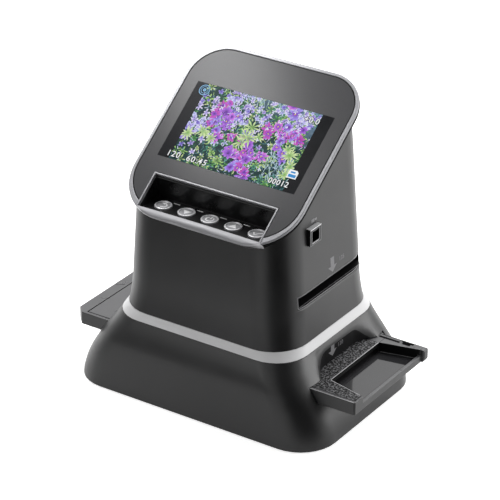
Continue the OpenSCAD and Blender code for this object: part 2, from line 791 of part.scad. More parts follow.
module port_bezel() {
    inner = port_inner;
    y0 = port_y - port_w / 2;
    y1 = port_y + port_w / 2;
    color([0.45, 0.45, 0.46])
        difference() {
            union() {
                box(inner, y0, port_z - port_h / 2, port_face, y1, port_z + port_h / 2);
                box(inner, y0 - 1.5, port_z - port_h / 2, inner + 1.2, y1 + 1.5, port_z + port_h / 2);
            }
            socket_room(inner - 1, port_face - 1.2, shell_t + 0.05);
            socket_room(inner, port_face + 1, 0);
        }
}

shell_t = 0.45;
socket_z = port_z - 0.4;
module socket_room(x0, x1, grow) {
    box(x0, port_y - socket_w / 2 - grow, socket_z - socket_h / 2 - grow,
        x1, port_y + socket_w / 2 + grow, socket_z + socket_h / 2 + grow);
}

// Board with the socket's metal shell, its insulating block and the tongue
module usb_board() {
    back = port_face - 16;
    color([0.1, 0.32, 0.2])
        union() {
            box(usb_board_x0, port_y - 7.5, usb_board_z, port_inner - 1, port_y + 7.5, usb_board_z + pcb_t);
            difference() {
                socket_room(back, port_face - 1.3, shell_t);
                socket_room(back + 1, port_face + 1, 0);
            }
            box(back, port_y - 5, usb_board_z + pcb_t - e, port_inner - fit, port_y + 5, socket_z - socket_h / 2);
            box(back, port_y - socket_w / 2 + 1.6, socket_z - 1.6, port_face - 6.2, port_y + socket_w / 2 - 1.6, socket_z + 2);
        }
}

// ---- roll film holder ----

holder_x0 = holder_x - holder_l / 2;
holder_x1 = holder_x + holder_l / 2;
holder_y0 = holder_y - holder_w / 2;
holder_y1 = holder_y + holder_w / 2;
corner_cut = 5.8;                 // bevelled front corner at the closed end
end_rim = 9;                      // frame rim at the closed end
side_rim = 2.6;                   // frame rim in front of the lid
lid_seat = holder_top - lid_t;
film_t = 1.2;                     // height of the film channel
film_z = lid_seat - film_t;
mouth_floor = holder_z + 2.2;
mouth_x = holder_x1 - mouth_l;    // where the flared mouth starts
ramp_l = 10;                      // ramp from the mouth's floor up to the film channel
rail_w = 2.6;                     // low rail across the open end
rail_top = holder_z + 4.8;
gate_pitch = gate_l + 3;
rod_r = 1.1;
rod_y = holder_y1 - 2.6;
rod_z = holder_top - 1.8;
knuckle_r = 1.75;
back_r = 4.2;                     // rounded rear edge of the two end blocks
block_l = 8;                      // length of an end block that carries the hinge rod
block_out = 2.2;                  // how far the right block stands out past the mouth
lid_gap = 0.7;                    // groove round the lid
knuckle_w = 6;
knuckle_x = [holder_x0 + block_l + 5, holder_x, mouth_x - 8];
view_notch = 9;                   // the rod can be seen in the notch next to the right block

// Plan of the flared mouth, from the lid's edge to past the open end
mouth_front = axis_y - film_w / 2 - mouth_flare;
mouth_back = axis_y + film_w / 2 + mouth_flare;
module mouth_plan() {
    far = holder_x1 + 5;
    polygon([[mouth_x, axis_y - film_w / 2], [holder_x1, mouth_front], [far, mouth_front],
             [far, mouth_back], [holder_x1, mouth_back], [mouth_x, axis_y + film_w / 2]]);
}

module gates(z0, z1) {
    for (i = [-1:1])
        box(i * gate_pitch - gate_l / 2 + holder_x, axis_y - film_w / 2 + 2.5, z0,
            i * gate_pitch + gate_l / 2 + holder_x, axis_y + film_w / 2 - 2.5, z1);
}

module frame_plan() {
    polygon(concat([[holder_x0, holder_y0 + corner_cut], [holder_x0 + corner_cut, holder_y0]],
                   [[holder_x1 - 1, holder_y0], [holder_x1, holder_y0 + 1]],
                   [[holder_x1, mouth_back], [holder_x1 + block_out - 1, mouth_back],
                    [holder_x1 + block_out, mouth_back + 1]],
                   arc(holder_x1 + block_out - 3.8, holder_y1 - 3.8, 3.8, 0, 8),
                   arc(holder_x0 + 5, holder_y1 - 5, 5, 90, 8)));
}

// The rear edge in section: rounded at the end blocks, stepped down under the rod between them
module rear_section(stepped) {
    z0 = holder_z;
    polygon(concat([[holder_y0 - 1, z0], [holder_y1 - back_r, z0]],
                   [for (a = [-75:15:75]) [holder_y1 - back_r + back_r * cos(a), z0 + holder_t / 2 + (holder_t / 2) * sin(a)]],
                   [[holder_y1 - back_r, z0 + holder_t], [holder_y0 - 1, z0 + holder_t]]));
}

module rod_notch(x0, x1) {
    box(x0, rod_y - 3.4, lid_seat - 2.2, x1, holder_y1 + 1, 100);
}

module holder_frame() {
    color([0.13, 0.13, 0.135])
        difference() {
            intersection() {
                translate([0, 0, holder_z]) linear_extrude(holder_t) frame_plan();
                along_x(2 * foot_w) rear_section();
            }
            // bed of the lid and its front arm
            box(holder_x0 + end_rim, holder_y0 + side_rim, lid_seat, mouth_x, rod_y - rod_r - 0.3, 100);
            box(mouth_x - 1, holder_y0 + side_rim, lid_seat, holder_x1 - 1.6, axis_y - film_w / 2, 100);
            // step under the rod, and the rod's bores in the end blocks
            box(holder_x0 + block_l, rod_y - rod_r - 0.4, rod_z - rod_r, holder_x1 - block_l, holder_y1 + 1, 100);
            translate([holder_x, rod_y, rod_z]) rotate([0, 90, 0])
                cylinder(r = rod_r + 0.02, h = holder_l - 2 * block_l + 9, center = true);
            for (x = knuckle_x) rod_notch(x - knuckle_w / 2 - 0.3, x + knuckle_w / 2 + 0.3);
            rod_notch(holder_x1 - block_l - view_notch, holder_x1 - block_l);
            // line between the right block and the mouth's rear wall
            box(holder_x1 - 1, mouth_back - 3, rail_top, holder_x1 - 0.4, mouth_back + 0.5, 100);
            box(holder_x1 - 1, mouth_back - 1, holder_top - 0.4, holder_x1 - 0.4, holder_y1 + 1, 100);
            // film channel, ramp and mouth
            box(holder_x0 - 1, axis_y - film_w / 2, film_z, mouth_x + 1, axis_y + film_w / 2, lid_seat + 0.01);
            translate([0, axis_y + film_w / 2, 0]) rotate([90, 0, 0]) linear_extrude(film_w)
                polygon([[mouth_x - ramp_l, film_z], [mouth_x, mouth_floor], [mouth_x + 1, mouth_floor],
                         [mouth_x + 1, 100], [mouth_x - ramp_l, lid_seat]]);
            intersection() {
                translate([0, 0, mouth_floor]) linear_extrude(20) mouth_plan();
                box(0, -100, 0, holder_x1 - rail_w, 100, 100);
            }
            translate([0, 0, rail_top]) linear_extrude(20) mouth_plan();
            gates(holder_z - 1, 100);
            translate([holder_x0 + 3.8, axis_y + 0.2, holder_top]) rotate(34) cube([6.8, 0.8, 1.4], center = true);
        }
}

module holder_lid() {
    color([0.17, 0.17, 0.175])
        difference() {
            union() {
                box(holder_x0 + end_rim + lid_gap, holder_y0 + side_rim + lid_gap, lid_seat + 0.05,
                    mouth_x, rod_y - rod_r - 0.5, holder_top);
                box(mouth_x - 1, holder_y0 + side_rim + lid_gap, lid_seat + 0.05,
                    holder_x1 - 1.8, axis_y - film_w / 2, holder_top);
                for (x = knuckle_x) {
                    translate([x, rod_y, rod_z]) rotate([0, 90, 0]) cylinder(r = knuckle_r, h = knuckle_w, center = true);
                    box(x - knuckle_w / 2, rod_y - 3, rod_z - 1.2, x + knuckle_w / 2, rod_y, rod_z + 1.2);
                }
            }
            translate([0, 0, lid_seat - 1]) linear_extrude(30) intersection() {
                mouth_plan();
                translate([mouth_x + e, -100]) square([100, 200]);
            }
            gates(lid_seat - 1, 100);
            for (x = knuckle_x) translate([x, rod_y, rod_z]) rotate([0, 90, 0])
                cylinder(r = rod_r + 0.05, h = 20, center = true);
        }
}

module hinge_rod() {
    color([0.05, 0.05, 0.05])
        translate([holder_x, rod_y, rod_z]) rotate([0, 90, 0])
            cylinder(r = rod_r, h = holder_l - 2 * block_l + 8, center = true);
}

base_skirt();
bottom_cover();
rubber_feet();
bottom_screws();
ring_band();
neck_shell();
head_frame();
bezel_rim();
front_glass();
lcd_module();
lcd_bracket();
console_tub();
console_trim();
front_lip();
button(-2);  // button_back
button(-1);  // button_left
button(0);  // button_power
button(1);  // button_right
button(2);  // button_ok
button_board();
holder_guide();
lower_shroud();
slot_guide();
upper_shroud();
lens_holder();
lens_barrel();
lens_glass();
sensor_board();
main_board();
usb_board();
port_bezel();
backlight_board();
light_box();
diffuser();
holder_frame();
holder_lid();
hinge_rod();
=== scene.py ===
import json
import math
import random

import bmesh
import bpy
from mathutils import Matrix, Vector, noise


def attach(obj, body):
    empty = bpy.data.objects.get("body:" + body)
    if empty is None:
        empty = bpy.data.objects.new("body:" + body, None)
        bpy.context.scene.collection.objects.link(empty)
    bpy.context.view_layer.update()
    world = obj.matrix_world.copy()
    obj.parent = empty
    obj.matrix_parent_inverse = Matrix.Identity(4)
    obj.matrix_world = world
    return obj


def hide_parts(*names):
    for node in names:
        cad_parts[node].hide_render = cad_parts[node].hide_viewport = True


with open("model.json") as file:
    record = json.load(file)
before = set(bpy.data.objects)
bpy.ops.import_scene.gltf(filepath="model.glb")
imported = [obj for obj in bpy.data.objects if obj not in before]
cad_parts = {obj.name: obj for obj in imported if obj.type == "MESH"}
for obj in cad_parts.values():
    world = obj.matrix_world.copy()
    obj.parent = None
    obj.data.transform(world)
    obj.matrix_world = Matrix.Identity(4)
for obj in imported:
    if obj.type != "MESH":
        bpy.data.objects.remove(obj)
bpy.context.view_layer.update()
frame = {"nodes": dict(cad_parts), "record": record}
MM = 0.001

# ---- camera ----
# A long lens, from the front right and above, as one looks down at a thing on a desk.

turn, rise = math.radians(33.97), math.radians(27.27)
aim, distance = Vector((-0.21, 7.18, 96.08)) * MM, 1.7526
toward_camera = Vector((math.sin(turn) * math.cos(rise), -math.cos(turn) * math.cos(rise), math.sin(rise)))
camera = bpy.data.objects.new("camera", bpy.data.cameras.new("camera"))
bpy.context.collection.objects.link(camera)
camera.data.sensor_width = 36
camera.data.lens = 183.07
camera.location = aim + toward_camera * distance
camera.rotation_euler = toward_camera.to_track_quat("Z", "Y").to_euler()
bpy.context.scene.camera = camera
bpy.context.scene.view_settings.view_transform = "Standard"

# ---- studio ----
# A white room: dim as light, white where the camera, a gloss or a clear body looks at it.
# The floor is white paper; it is seen as white too, and keeps the soft shadow.


def linear(colour):
    """Linear red, green, blue and alpha of an sRGB hex colour."""
    parts = [int(colour[i:i + 2], 16) / 255 for i in (1, 3, 5)]
    return [c / 12.92 if c <= 0.04045 else ((c + 0.055) / 1.055) ** 2.4 for c in parts] + [1.0]


def add(tree, kind, sockets=None, **settings):
    """Adds a shader node. A socket's value is a number, a colour or another node's output."""
    node = tree.nodes.new("ShaderNode" + kind)
    for name, value in settings.items():
        setattr(node, name, value)
    for key, value in (sockets or {}).items():
        if isinstance(value, bpy.types.NodeSocket):
            tree.links.new(value, node.inputs[key])
        else:
            node.inputs[key].default_value = value
    return node


def seen_directly(tree):
    """1 for a ray from the camera, a gloss or a clear body, and 0 for one that lights a surface."""
    rays = add(tree, "LightPath").outputs
    glossy = add(tree, "Math", {0: rays["Is Camera Ray"], 1: rays["Is Glossy Ray"]}, operation="MAXIMUM")
    both = add(tree, "Math", {0: glossy.outputs[0], 1: rays["Is Transmission Ray"]}, operation="MAXIMUM")
    return both.outputs[0]


room = bpy.data.worlds.new("white_room")
bpy.context.scene.world = room
room.use_nodes = True
tree = room.node_tree
tree.nodes.clear()
dim = add(tree, "Background", {"Color": linear("#ffffff"), "Strength": 0.30})
white = add(tree, "Background", {"Color": linear("#ffffff"), "Strength": 1.0})
either = add(tree, "MixShader", {0: seen_directly(tree), 1: dim.outputs[0], 2: white.outputs[0]})
add(tree, "OutputWorld", {0: either.outputs[0]})

paper = bpy.data.materials.new("white_paper")
paper.use_nodes = True
tree = paper.node_tree
tree.nodes.clear()
matt = add(tree, "BsdfDiffuse", {"Color": linear("#e6e6e6")})
glow = add(tree, "Emission", {"Color": linear("#ffffff"), "Strength": 0.72})
bright = add(tree, "AddShader", {0: matt.outputs[0], 1: glow.outputs[0]})
either = add(tree, "MixShader", {0: seen_directly(tree), 1: matt.outputs[0], 2: bright.outputs[0]})
add(tree, "OutputMaterial", {0: either.outputs[0]})

bm = bmesh.new()
bmesh.ops.create_grid(bm, x_segments=1, y_segments=1, size=4)
floor = bpy.data.objects.new("floor", bpy.data.meshes.new("floor"))
bm.to_mesh(floor.data)
bm.free()
floor.data.materials.append(paper)
bpy.context.collection.objects.link(floor)


def softbox(name, place, target, width, height, power):
    """A rectangular diffuser panel that faces its target, in metres and watts."""
    lamp = bpy.data.lights.new(name, "AREA")
    lamp.shape = "RECTANGLE"
    lamp.size, lamp.size_y, lamp.energy = width, height, power
    panel = bpy.data.objects.new(name, lamp)
    panel.location = place
    panel.rotation_euler = (Vector(place) - Vector(target)).to_track_quat("Z", "Y").to_euler()
    bpy.context.collection.objects.link(panel)


softbox("overhead_softbox", (-0.10, 0.55, 1.05), (0, 0.03, 0.15), 0.55, 0.55, 9.0)
softbox("right_softbox", (0.95, 0.80, 0.45), (0.04, 0, 0.08), 0.8, 0.7, 11.5)
softbox("left_softbox", (-1.0, 0.35, 0.40), (-0.05, 0, 0.10), 0.4, 0.8, 2.5)
softbox("front_softbox", (-0.45, -0.95, 0.50), (0, 0, 0.12), 0.5, 0.5, 2.0)
softbox("face_softbox", (-0.175, 0.014, 0.415), (-0.05, 0.062, 0.229), 0.20, 0.08, 0.70)

# Two cards that only glosses see: black at the front right, where the rounded corners go dark, and
# grey at the front left, where the front walls lose some of the white.


def reflected_card(name, shade, centre, turn, width, height, apron):
    """An upright card with an apron on the floor towards the object, in metres."""
    material = bpy.data.materials.new(name)
    material.use_nodes = True
    tree = material.node_tree
    tree.nodes.clear()
    light = add(tree, "Emission", {"Color": linear("#ffffff"), "Strength": shade})
    add(tree, "OutputMaterial", {0: light.outputs[0]})
    bm = bmesh.new()
    bmesh.ops.create_grid(bm, x_segments=1, y_segments=1, size=0.5)
    bmesh.ops.scale(bm, verts=bm.verts, vec=(width, apron, 1))
    over_paper = 0.0004
    bmesh.ops.translate(bm, verts=bm.verts, vec=(0, apron / 2, over_paper))
    front = [line for line in bm.edges if all(v.co.y < apron / 4 for v in line.verts)]
    raised = bmesh.ops.extrude_edge_only(bm, edges=front)["geom"]
    top = [v for v in raised if isinstance(v, bmesh.types.BMVert)]
    bmesh.ops.translate(bm, verts=top, vec=(0, 0, height))
    place = Matrix.Translation(centre) @ Matrix.Rotation(math.radians(turn), 4, "Z")
    bmesh.ops.transform(bm, matrix=place, verts=bm.verts)
    card = bpy.data.objects.new(name, bpy.data.meshes.new(name))
    bm.to_mesh(card.data)
    bm.free()
    card.data.materials.append(material)
    bpy.context.collection.objects.link(card)
    card.visible_camera = card.visible_diffuse = card.visible_shadow = False


reflected_card("black_card", 0.0, (0.235, -0.165, 0), 56, 0.27, 0.5, 0.105)
reflected_card("grey_card", 0.38, (-0.135, -0.215, 0), -34, 0.40, 0.12, 0.04)

# ---- base skirt ----
# The broad foot of the housing, one moulding in black ABS. A fine spark-eroded texture in its mould
# gives it a soft sheen. It is screwed to the bottom cover, whose rubber feet carry it.

# The body that each node rides on
body_of = {n: b for b, ns in frame["record"]["behaviour"]["bodies"].items() for n in ns}


def finish(name, colour, roughness, metallic=0.0, specular=0.5):
    """A material with one Principled shader, and its node tree and shader."""
    material = bpy.data.materials.new(name)
    material.use_nodes = True
    shader = material.node_tree.nodes["Principled BSDF"]
    shader.inputs["Base Color"].default_value = linear(colour)
    shader.inputs["Roughness"].default_value = roughness
    shader.inputs["Metallic"].default_value = metallic
    shader.inputs["Specular IOR Level"].default_value = specular
    return material, material.node_tree, shader


def eroded(tree, shader, grain, depth):
    """Spark-eroded mould texture of a grain width and depth in millimetres. Returns its heights."""
    place = add(tree, "TexCoord").outputs["Object"]
    pits = add(tree, "TexNoise", {"Vector": place, "Scale": 1 / (grain * MM), "Detail": 2.0,
                                  "Roughness": 0.6})
    bump = add(tree, "Bump", {"Height": pits.outputs[0], "Distance": depth * MM, "Strength": 1.0})
    tree.links.new(bump.outputs[0], shader.inputs["Normal"])
    return pits.outputs[0]


def mottled(tree, shader, dark, light, width, rough=None):
    """Slow changes of tone, and of roughness, a given width apart in millimetres."""
    place = add(tree, "TexCoord").outputs["Object"]
    cloud = add(tree, "TexNoise", {"Vector": place, "Scale": 1 / (width * MM), "Detail": 3.0})
    tone = add(tree, "Mix", {0: cloud.outputs[0], 6: linear(dark), 7: linear(light)}, data_type="RGBA")
    tree.links.new(tone.outputs[2], shader.inputs["Base Color"])
    if rough:
        spread = add(tree, "MapRange", {"Value": cloud.outputs[0], "From Min": 0.3, "From Max": 0.7,
                                        "To Min": rough[0], "To Max": rough[1]})
        tree.links.new(spread.outputs[0], shader.inputs["Roughness"])


# Black ABS, spark-eroded: a soft broad sheen, with pits drawn 0.4 mm wide so that they just show
black_abs, tree, shader = finish("black_abs_spark_eroded", "#121213", 0.38, specular=0.40)
mottled(tree, shader, "#101011", "#151516", 30, (0.36, 0.42))
eroded(tree, shader, 0.4, 0.010)
# Black ABS, deeply eroded and matt, and darker than the housing: painted shade for walls that lie in the
# shade
shade_abs, tree, shader = finish("black_abs_matt_painted_shade", "#080809", 0.6, specular=0.10)
mottled(tree, shader, "#060607", "#0b0b0c", 10, (0.55, 0.65))
eroded(tree, shader, 0.4, 0.012)


def moulding(node, material, edge=0.0, crease=30, soft=None):
    """A merged copy of a CAD node, with smooth curves and rounded edges, stands for the node.

    edge is the width of the rounding in millimetres. soft gives for a point, in millimetres, the
    share of it that an edge there gets: 0 leaves the edge smooth.
    """
    bm = bmesh.new()
    bm.from_mesh(frame["nodes"][node].data)
    bmesh.ops.remove_doubles(bm, verts=bm.verts, dist=0.002 * MM)
    bmesh.ops.dissolve_limit(bm, angle_limit=math.radians(0.4), verts=bm.verts, edges=bm.edges)
    for face in bm.faces:
        face.smooth = True
    weight = bm.edges.layers.float.new("bevel_weight_edge")
    for line in bm.edges:
        middle = (line.verts[0].co + line.verts[1].co) / 2 / MM
        share = soft(*middle) if soft else 1.0
        line.smooth = line.calc_face_angle(0) < math.radians(crease) or share == 0
        line[weight] = 0.0 if line.smooth else share
    piece = bpy.data.objects.new(node + "_moulding", bpy.data.meshes.new(node + "_moulding"))
    bm.to_mesh(piece.data)
    bm.free()
    piece.data.materials.append(material)
    bpy.context.collection.objects.link(piece)
    if edge:
        rounding = piece.modifiers.new("rounded_edges", "BEVEL")
        rounding.width = edge * MM
        rounding.segments = 3
        rounding.limit_method = "WEIGHT"
        rounding.use_clamp_overlap = False
    piece.modifiers.new("weighted_normals", "WEIGHTED_NORMAL").keep_sharp = True
    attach(piece, body_of[node])
    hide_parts(node)
    return piece


def round_scoop(x, y, z):
    """Whether a point lies where a scoop rolls over into the skirt, which CAD has rounded already."""
    return 74 < abs(x) < 92 and abs(y - 2.5) < 46 and 39.6 < z < 55.2


skirt = moulding("base_skirt", black_abs, 0.35, soft=lambda x, y, z: 0.0 if round_scoop(x, y, z) else 1.0)
# The scoops' back walls take the darker matt black: painted shade
skirt.data.materials.append(shade_abs)
for polygon in skirt.data.polygons:
    x, y, z = polygon.center / MM
    if abs(polygon.normal.z) < 0.1 and 38 < z < 52 and 75.5 < abs(x) < 97 and abs(y - 2.5) < 37:
        polygon.material_index = 1

# ---- bottom cover, feet and screws ----
# A flat tray of the same ABS closes the base. Six zinc-plated screws hold it, and five pads of
# black rubber are stuck into its recesses.

# Black thermoplastic rubber, moulded: dead matt, greyer than the housing
rubber, tree, shader = finish("black_rubber_moulded", "#262627", 0.85, specular=0.25)
mottled(tree, shader, "#222223", "#2b2b2c", 6)
eroded(tree, shader, 0.8, 0.03)

# Zinc-plated steel, rolled and tumbled: a soft bluish metal with small dull patches
zinc, tree, shader = finish("zinc_plated_steel", "#b9bcc0", 0.32, metallic=1.0)
mottled(tree, shader, "#a9adb2", "#c6c9cc", 2, (0.25, 0.42))


def carried(material, *nodes):
    """CAD nodes that keep their own mesh take this material."""
    for node in nodes:
        frame["nodes"][node].data.materials.clear()
        frame["nodes"][node].data.materials.append(material)


carried(black_abs, "bottom_cover")
carried(rubber, "rubber_feet")
carried(zinc, "bottom_screws")

# ---- ring band ----
# A milky band of moulded polycarbonate, clamped between base and neck. It parts the two black
# mouldings with a pale line all round.

# Polycarbonate, pale grey and slightly clouded, moulded with a silky surface
milky, tree, shader = finish("polycarbonate_milky", "#cbcbcc", 0.38, specular=0.3)
mottled(tree, shader, "#c7c7c8", "#d0d0d1", 18, (0.34, 0.42))
eroded(tree, shader, 0.5, 0.006)
moulding("ring_band", milky, 0.3)

# ---- neck ----
# The upright housing for the lens and the boards, one drafted moulding in black ABS.
# An arrow and a film size are pad-printed over its slot, and two plain blocks over the port.

moulding("neck_shell", black_abs, 0.35)

# Pad-printing ink, matt grey, a few hundredths of a millimetre thick, a little thin in places
ink, tree, shader = finish("pad_print_ink_grey", "#6e6e70", 0.6)
mottled(tree, shader, "#5e5e60", "#7c7c7e", 0.7)


def right_side(x, y, z, draft=0.0):
    """A plane that looks to the right, through a point in millimetres, leaning in by a draft in degrees.

    Its X runs to the back, its Y upwards and its Z outwards.
    """
    lean = math.radians(draft)
    return Matrix.Translation(Vector((x, y, z)) * MM) @ Matrix((
        (0, -math.sin(lean), math.cos(lean), 0), (1, 0, 0, 0),
        (0, math.cos(lean), math.sin(lean), 0), (0, 0, 0, 1)))


neck_wall = right_side(66.91, 0, 105, 3.4)
print_t = 0.03


def print_on(name, bm, plane, material, body="housing", thickness=print_t):
    """Gives flat faces a print's thickness and lays them on a plane. Sizes are in millimetres."""
    raised = bmesh.ops.extrude_face_region(bm, geom=bm.faces[:])["geom"]
    top = [v for v in raised if isinstance(v, bmesh.types.BMVert)]
    bmesh.ops.translate(bm, verts=top, vec=(0, 0, thickness))
    bmesh.ops.scale(bm, verts=bm.verts, vec=(MM, MM, MM))
    bmesh.ops.transform(bm, matrix=plane, verts=bm.verts)
    bmesh.ops.recalc_face_normals(bm, faces=bm.faces)
    piece = bpy.data.objects.new(name, bpy.data.meshes.new(name))
    bm.to_mesh(piece.data)
    bm.free()
    piece.data.materials.append(material)
    bpy.context.collection.objects.link(piece)
    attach(piece, body)


def outline(bm, points):
    """One flat face through a few points."""
    return bm.faces.new([bm.verts.new((x, y, 0)) for x, y in points])


def block(bm, left, low, right, high):
    """One flat rectangle."""
    outline(bm, [(left, low), (right, low), (right, high), (left, high)])


def arrow(bm, x, top, tip, width, shaft):
    """A block arrow that points down, from top to tip."""
    neck = tip + width * 0.42
    outline(bm, [(x, tip), (x + width / 2, neck), (x + shaft / 2, neck), (x + shaft / 2, top),
                 (x - shaft / 2, top), (x - shaft / 2, neck), (x - width / 2, neck)])


def numerals(name, text, height, x, y, plane, material, weight=0.0, spacing=1.0):
    """Plain numbers of a given height, laid on a plane at x, y. weight makes their strokes wider."""
    letters = bpy.data.curves.new(name, "FONT")
    letters.body = text
    capital = 0.7   # height of a numeral as a share of the font's size
    letters.size = height / capital * MM
    letters.offset = weight * MM
    letters.space_character = spacing
    letters.resolution_u = 3
    source = bpy.data.objects.new(name + "_letters", letters)
    bm = bmesh.new()
    bm.from_mesh(source.to_mesh())
    source.to_mesh_clear()
    bpy.data.objects.remove(source)
    bmesh.ops.remove_doubles(bm, verts=bm.verts, dist=0.001 * MM)
    bmesh.ops.scale(bm, verts=bm.verts, vec=(1 / MM, 1 / MM, 1 / MM))
    bmesh.ops.translate(bm, verts=bm.verts, vec=(x, y, 0))
    print_on(name, bm, plane, material)


bm = bmesh.new()
arrow(bm, 7.1, 5.0, -6.0, 10.8, 4.4)
print_on("slot_arrow", bm, neck_wall, ink)
numerals("slot_film_size", "135", 3.1, 15.4, -1.4, neck_wall, ink)

bm = bmesh.new()
block(bm, -16.2, 39.6, -12.6, 42.0)
block(bm, -12.2, 40.0, -9.6, 41.6)
print_on("port_sign", bm, neck_wall, ink)

# ---- film slot ----
# The tunnel for 35 mm film, one matt black moulding that is pushed into the neck. Its edge shows
# as a thin paler frame round the slot.

# Black ABS, paler, with a satin sheen
pale_edge_abs, tree, shader = finish("black_abs_pale_edge", "#4e4e50", 0.34, specular=0.5)
mottled(tree, shader, "#464648", "#58585a", 3, (0.30, 0.40))

# The tunnel takes the darker matt black: painted shade inside the slot
tunnel = moulding("slot_guide", shade_abs, 0.12)
tunnel.data.materials.append(pale_edge_abs)
for polygon in tunnel.data.polygons:
    if abs(polygon.normal.x) > 0.8 and abs(polygon.center.x) > 0.06:
        polygon.material_index = 1

# A light line across its floor, just inside each mouth
pale_line_abs, tree, shader = finish("black_abs_pale_line", "#7c7c7e", 0.4)
mottled(tree, shader, "#727274", "#868688", 1.5, (0.34, 0.46))
slot_floor = Matrix.Translation((0, 0, 88.8 * MM))
for end, line in (("left", -66.5), ("right", 65.8)):
    bm = bmesh.new()
    block(bm, line, -32.5, line + 0.7, 46.5)
    print_on("slot_pale_line_" + end, bm, slot_floor, pale_line_abs)

# ---- head frame, rim and cover glass ----
# A black ABS frame carries a rim in satin silver paint. The cover glass is glued in the rim: it is
# printed dark grey behind, and a film against glare lies on the window over the display.

# The frame takes the darker matt black: painted shade under the rim
moulding("head_frame", shade_abs, 0.25)

# ABS in satin silver paint: fine metal flakes in a clear coat, drawn 0.35 mm wide so that they show
silver, tree, shader = finish("abs_satin_silver_paint", "#7c7c7f", 0.40, metallic=0.6)
place = add(tree, "TexCoord").outputs["Object"]
flakes = add(tree, "TexVoronoi", {"Vector": place, "Scale": 1 / (0.35 * MM)})
tint = add(tree, "Mix", {0: flakes.outputs["Color"], 6: linear("#737376"), 7: linear("#858588")},
           data_type="RGBA")
tree.links.new(tint.outputs[2], shader.inputs["Base Color"])
eroded(tree, shader, 0.35, 0.004)
moulding("bezel_rim", silver, 0.4)

# The tilted face, and the front of the glass a little below it
tilt, face_y, face_z = math.radians(36.6), 1, 184.6
face = Matrix.Translation(Vector((0, face_y, face_z)) * MM) @ Matrix.Rotation(tilt, 4, "X")
on_glass = face @ Matrix.Translation((0, 0, -0.1 * MM))

# Cover glass, printed behind: the dark grey print shows through a clear surface etched satin
cover, tree, shader = finish("cover_glass_dark_print", "#3c3c3e", 0.27, specular=0.20)
mottled(tree, shader, "#3a3a3c", "#414143", 0.6)
glass = moulding("front_glass", cover, 0.25)
# Black glue, a thin dead line round its edge, which ends at the recess for the buttons
glue_w, recess_x, recess_y = 0.55, 50.5, -45
glue, tree, shader = finish("black_glue_line", "#060607", 0.5, specular=0.1)
mottled(tree, shader, "#050506", "#08080a", 1)
facing = [polygon for polygon in glass.data.polygons if polygon.normal @ face.col[2].xyz > 0.9]
front = max(facing, key=lambda polygon: polygon.area)
border = [face.inverted() @ glass.data.vertices[k].co / MM for k in front.vertices]
half_x = max(spot.x for spot in border)
mid_y = (max(spot.y for spot in border) + min(spot.y for spot in border)) / 2
half_y = max(spot.y for spot in border) - mid_y
bm = bmesh.new()
for one, two in zip(border, border[1:] + border[:1]):
    if all(abs(spot.x) > recess_x or spot.y > recess_y for spot in (one, two)):
        inner = [(spot.x * (1 - glue_w / half_x), mid_y + (spot.y - mid_y) * (1 - glue_w / half_y))
                 for spot in (two, one)]
        outline(bm, [(one.x, one.y), (two.x, two.y)] + inner)
bmesh.ops.remove_doubles(bm, verts=bm.verts, dist=0.001)
print_on("glass_glue_line", bm, on_glass, glue)

# ---- display and its picture ----
# A 5-inch colour display in a sheet-steel bracket, under the glass. It shows a flower bed of
# asters and ferns, with the counters of the menu over it, and all this lies on the glass's film.

# Glass and resin of the display module, dark and smooth
module, tree, shader = finish("display_module_glass", "#1b1c20", 0.3)
mottled(tree, shader, "#18191c", "#202226", 12)
# Cold-rolled steel sheet: a dull grey metal with soft clouds
sheet_steel, tree, shader = finish("cold_rolled_steel_sheet", "#9fa1a4", 0.38, metallic=1.0)
mottled(tree, shader, "#94969a", "#aaacae", 8, (0.3, 0.46))
carried(module, "lcd_module")
carried(sheet_steel, "lcd_bracket")

picture_w, picture_h = 92.2, 61.2
draw = random.Random(23)
picture = bmesh.new()
tint_layer = picture.verts.layers.float_color.new("tint")
bmesh.ops.create_grid(picture, x_segments=60, y_segments=40, size=0.5)
bmesh.ops.scale(picture, verts=picture.verts, vec=(picture_w, picture_h, 1))


def blended(first, second, share):
    """A linear colour between two hex colours."""
    return [a + (b - a) * share for a, b in zip(linear(first), linear(second))]


# Shade between the plants: blotches of dark teal and green, hazy blue towards one corner
for vert in picture.verts:
    u, v = vert.co.x / picture_w, vert.co.y / picture_h
    blotch = noise.noise(Vector((u * 17, v * 12, 3.0))) * 0.5 + 0.5
    speck = noise.noise(Vector((u * 60, v * 42, 9.0))) * 0.5 + 0.5
    haze = min(1.0, max(0.0, (v + u * 0.7) * 1.5 - 0.45))
    deep = blended("#06141a", "#24504e", blotch * 0.6 + speck * 0.4)
    pale = blended("#3a6a90", "#a4bede", speck)
    vert[tint_layer] = [d + (p - d) * haze for d, p in zip(deep, pale)]

# Plants lie on each other in layers, and in a layer each leaf is a hair higher than the last
layer_step, leaf_step = 0.035, 0.0002
layer, laid = 0, 0


def leaf(x, y, angle, length, width, base, tip, widest=0.5):
    """One leaf or petal, from its foot at x, y. Its colour runs from base to tip."""
    global laid
    laid += 1
    level = layer * layer_step + laid * leaf_step % layer_step
    turned = Matrix.Translation((x, y, level)) @ Matrix.Rotation(angle, 4, "Z")
    corners = []
    for along, side in ((0, 0), (0.3, -0.42), (widest + 0.2, -0.5), (1, 0),
                        (widest + 0.2, 0.5), (0.3, 0.42)):
        vert = picture.verts.new(turned @ Vector((along * length, side * width, 0)))
        vert[tint_layer] = blended(base, tip, along)
        corners.append(vert)
    picture.faces.new(corners)


def rosette(x, y, count, length, width, base, tip, widest=0.5):
    """Leaves or petals round one point, each a little different."""
    first = draw.uniform(0, math.tau)
    for k in range(count):
        leaf(x, y, first + math.tau * k / count + draw.uniform(-0.2, 0.2), length * draw.uniform(0.7, 1.2),
             width * draw.uniform(0.8, 1.2), base, tip, widest)


